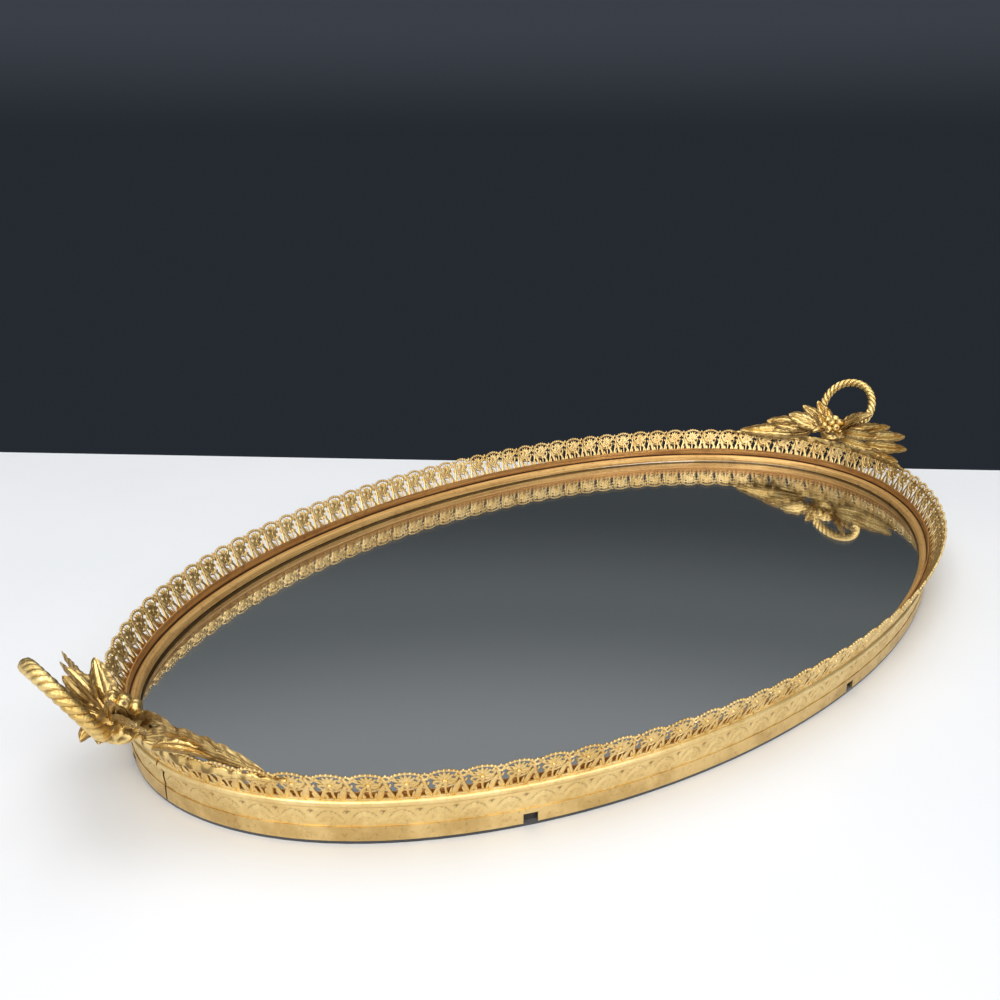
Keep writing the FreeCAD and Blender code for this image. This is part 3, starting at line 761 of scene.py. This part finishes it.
SIDE = [
    dict(root=(226, -2, 37), tip=(230, -20, 47.5), face=(-0.6, 0.3, 0.75), width=7.5, droop=14),
    dict(root=(225, -3, 36), tip=(222, -16.5, 49), face=(-0.3, 0.75, 0.5), width=8, droop=-14),
    dict(root=(226, -4, 36), tip=(229, -26, 41.5), face=(-0.35, 0.5, 0.8), width=8, droop=-12),
    dict(root=(225, -10, 36), tip=(227, -33, 43), face=(-0.9, 0.1, 0.4), width=6, droop=-12,
         teeth=4),
    dict(root=(222, -20, 35.5), tip=(222, -44.5, 40.5), face=ASIDE, width=6, droop=-16, teeth=4),
    dict(root=(221.5, -8, 36), tip=(220.5, -29, 37), face=ASIDE, width=5, droop=16, teeth=5),
    dict(root=(219.5, -22, 32), tip=(218.5, -48, 34.5), face=ASIDE, width=6, droop=-16, teeth=4),
    dict(root=(219.5, -8, 32), tip=(218, -28, 30.5), face=ASIDE, width=5, droop=16, teeth=5),
    dict(root=(218, -20, 29.5), tip=(216, -45, 27), face=ASIDE, width=5, droop=-14, teeth=4),
    dict(root=(225, -5, 36), tip=(227, -20, 38), face=(-0.3, -0.3, 0.9), width=5.5, droop=44,
         teeth=3),
    dict(root=(225, -16, 34), tip=(224, -36, 34.5), face=(0, 0, 1), width=7, droop=-20, teeth=5),
]
BRACTS = [
    dict(root=(223, 4, 35), tip=(214.5, 8, 34.5), face=(-0.3, 0, 0.9), width=5, droop=50, teeth=3),
    dict(root=(223, -4, 35), tip=(215, -9, 34), face=(-0.3, 0, 0.9), width=5, droop=50, teeth=3),
    dict(root=(225, 4, 36), tip=(225, 11, 43), face=(-0.8, -0.4, 0.4), width=5, droop=36, teeth=3),
    dict(root=(225, -4, 36), tip=(225, -11, 43), face=(-0.8, 0.4, 0.4), width=5, droop=36, teeth=3),
    dict(root=(227, 0, 35), tip=(237, 3, 34.5), face=(0, 0, 1), width=6, droop=50, teeth=3),
    dict(root=(227, -3, 35), tip=(234, -12, 36), face=(0.2, 0, 1), width=5.5, droop=50, teeth=3),
    dict(root=(227, 3, 35), tip=(235, 12, 37), face=(0.2, 0, 1), width=5.5, droop=50, teeth=3),
]
CASTING = {
    "handle_saddle": strap,
    "handle_knot": knot,
    "rope_ring": rope,
    "curled_leaf": lambda: leaves(CURLED),
    "upper_leaves": lambda: leaves(UPPER),
    "side_leaves": lambda: leaves(SIDE),
    "berry_cluster": berries,
}
# The left casting was soldered on a little lower than the right one.
for end, half_turn, sunk in (("right", 0, 0.0), ("left", 180, LEFT_SUNK * MM)):
    around = Matrix.Translation((0, 0, -sunk))
    around @= Matrix.Rotation(math.radians(half_turn), 4, "Z")
    for part, make in CASTING.items():
        mesh = make()
        bmesh.ops.recalc_face_normals(mesh, faces=mesh.faces)
        bmesh.ops.transform(mesh, matrix=around, verts=mesh.verts)
        finished(f"{end}_{part}_cast", mesh, cast_gilt, [f"{end}_{part}"],
                 crease=CAST_CREASE)
    collar = leaves(BRACTS)
    bmesh.ops.transform(collar, matrix=around, verts=collar.verts)
    finished(f"{end}_knot_bracts", collar, cast_gilt, [f"{end}_handle_knot"],
             crease=CAST_CREASE)

# ---------------------------------------------------------------- floor, light and camera
# A pale floor that ends at a dark wall, soft daylight from behind the camera, and one lens.
WALL = Vector((0.7516, 0.6596, 0))
WALL_DISTANCE = 0.205
FLOOR_REACH = 3.0

floor_paint, shader = new_material("floor_paint", Roughness=0.42)
tone = grain(floor_paint, 7.0, detail=6.0)
joined(floor_paint, blended(floor_paint, tone, (0.7, 0.71, 0.72, 1), (0.78, 0.78, 0.79, 1)),
       shader.inputs["Base Color"])
ground = bmesh.new()
bmesh.ops.create_grid(ground, x_segments=1, y_segments=1, size=FLOOR_REACH)
bmesh.ops.translate(ground, vec=(WALL_DISTANCE - FLOOR_REACH, 0, 0), verts=ground.verts)
wall_turn = Matrix.Rotation(math.atan2(WALL.y, WALL.x), 3, "Z")
bmesh.ops.rotate(ground, matrix=wall_turn, verts=ground.verts)
floor_mesh = bpy.data.meshes.new("floor")
ground.to_mesh(floor_mesh)
ground.free()
floor_mesh.materials.append(floor_paint)
floor = bpy.data.objects.new("floor", floor_mesh)
bpy.context.scene.collection.objects.link(floor)

world = bpy.data.worlds.new("studio")
bpy.context.scene.world = world
world.use_nodes = True
backdrop = world.node_tree.nodes["Background"]
direction = wire(world, "TexCoord").outputs["Generated"]
towards = wire(world, "VectorMath", {"operation": "DOT_PRODUCT"}, _0=direction)
towards.inputs[1].default_value = WALL
level = wire(world, "SeparateXYZ", Vector=direction).outputs["Z"]
wall_tone = wire(world, "ValToRGB", Fac=level)
ramp = wall_tone.color_ramp
ramp.interpolation = "EASE"
for place, colour in ((0.0, (0.021, 0.026, 0.034, 1)), (0.1, (0.048, 0.056, 0.07, 1)),
                      (0.34, (0.06, 0.07, 0.075, 1)), (0.43, (0.13, 0.145, 0.15, 1)),
                      (0.55, (0.27, 0.29, 0.3, 1)), (0.88, (0.9, 0.92, 0.95, 1))):
    stop = ramp.elements.new(place) if place > 0 else ramp.elements[0]
    stop.position, stop.color = place, colour
ramp.elements.remove(ramp.elements[-1])
room_side = ranged(world, towards.outputs["Value"], 0.12, -0.25)
sky = blended(world, room_side, wall_tone.outputs["Color"], (0.9, 0.92, 0.95, 1))
joined(world, sky, backdrop.inputs["Color"])
backdrop.inputs["Strength"].default_value = 0.9


def lamp(name, place, target, size, power):
    """A soft square light at a place, facing a target."""
    data = bpy.data.lights.new(name, "AREA")
    data.size = size
    data.energy = power
    light = bpy.data.objects.new(name, data)
    light.location = place
    light.rotation_euler = (Vector(target) - Vector(place)).to_track_quat("-Z", "Y").to_euler()
    bpy.context.scene.collection.objects.link(light)


lamp("window", (-1.5, -0.6, 1.5), (0, 0, 0), 0.9, 18.0)
lamp("room", (-0.3, -1.7, 1.1), (0, 0, 0), 1.2, 12.0)
lamp("ceiling", (0.2, 0.2, 1.9), (0, 0, 0), 1.4, 12.0)

lens = bpy.data.cameras.new("lens")
lens.sensor_width = 36
lens.lens = 36.43
lens.clip_start = 0.01
camera = bpy.data.objects.new("camera", lens)
across = Vector((0.7109, -0.7033, -0.0031)).normalized()
back = Vector((-0.6616, -0.6702, 0.3363)).normalized()
upright = back.cross(across).normalized()
camera.matrix_world = Matrix((across, upright, back)).transposed().to_4x4()
camera.location = (-0.33065, -0.27665, 0.20059)
bpy.context.scene.collection.objects.link(camera)
bpy.context.scene.camera = camera
bpy.context.scene.view_settings.view_transform = "Standard"
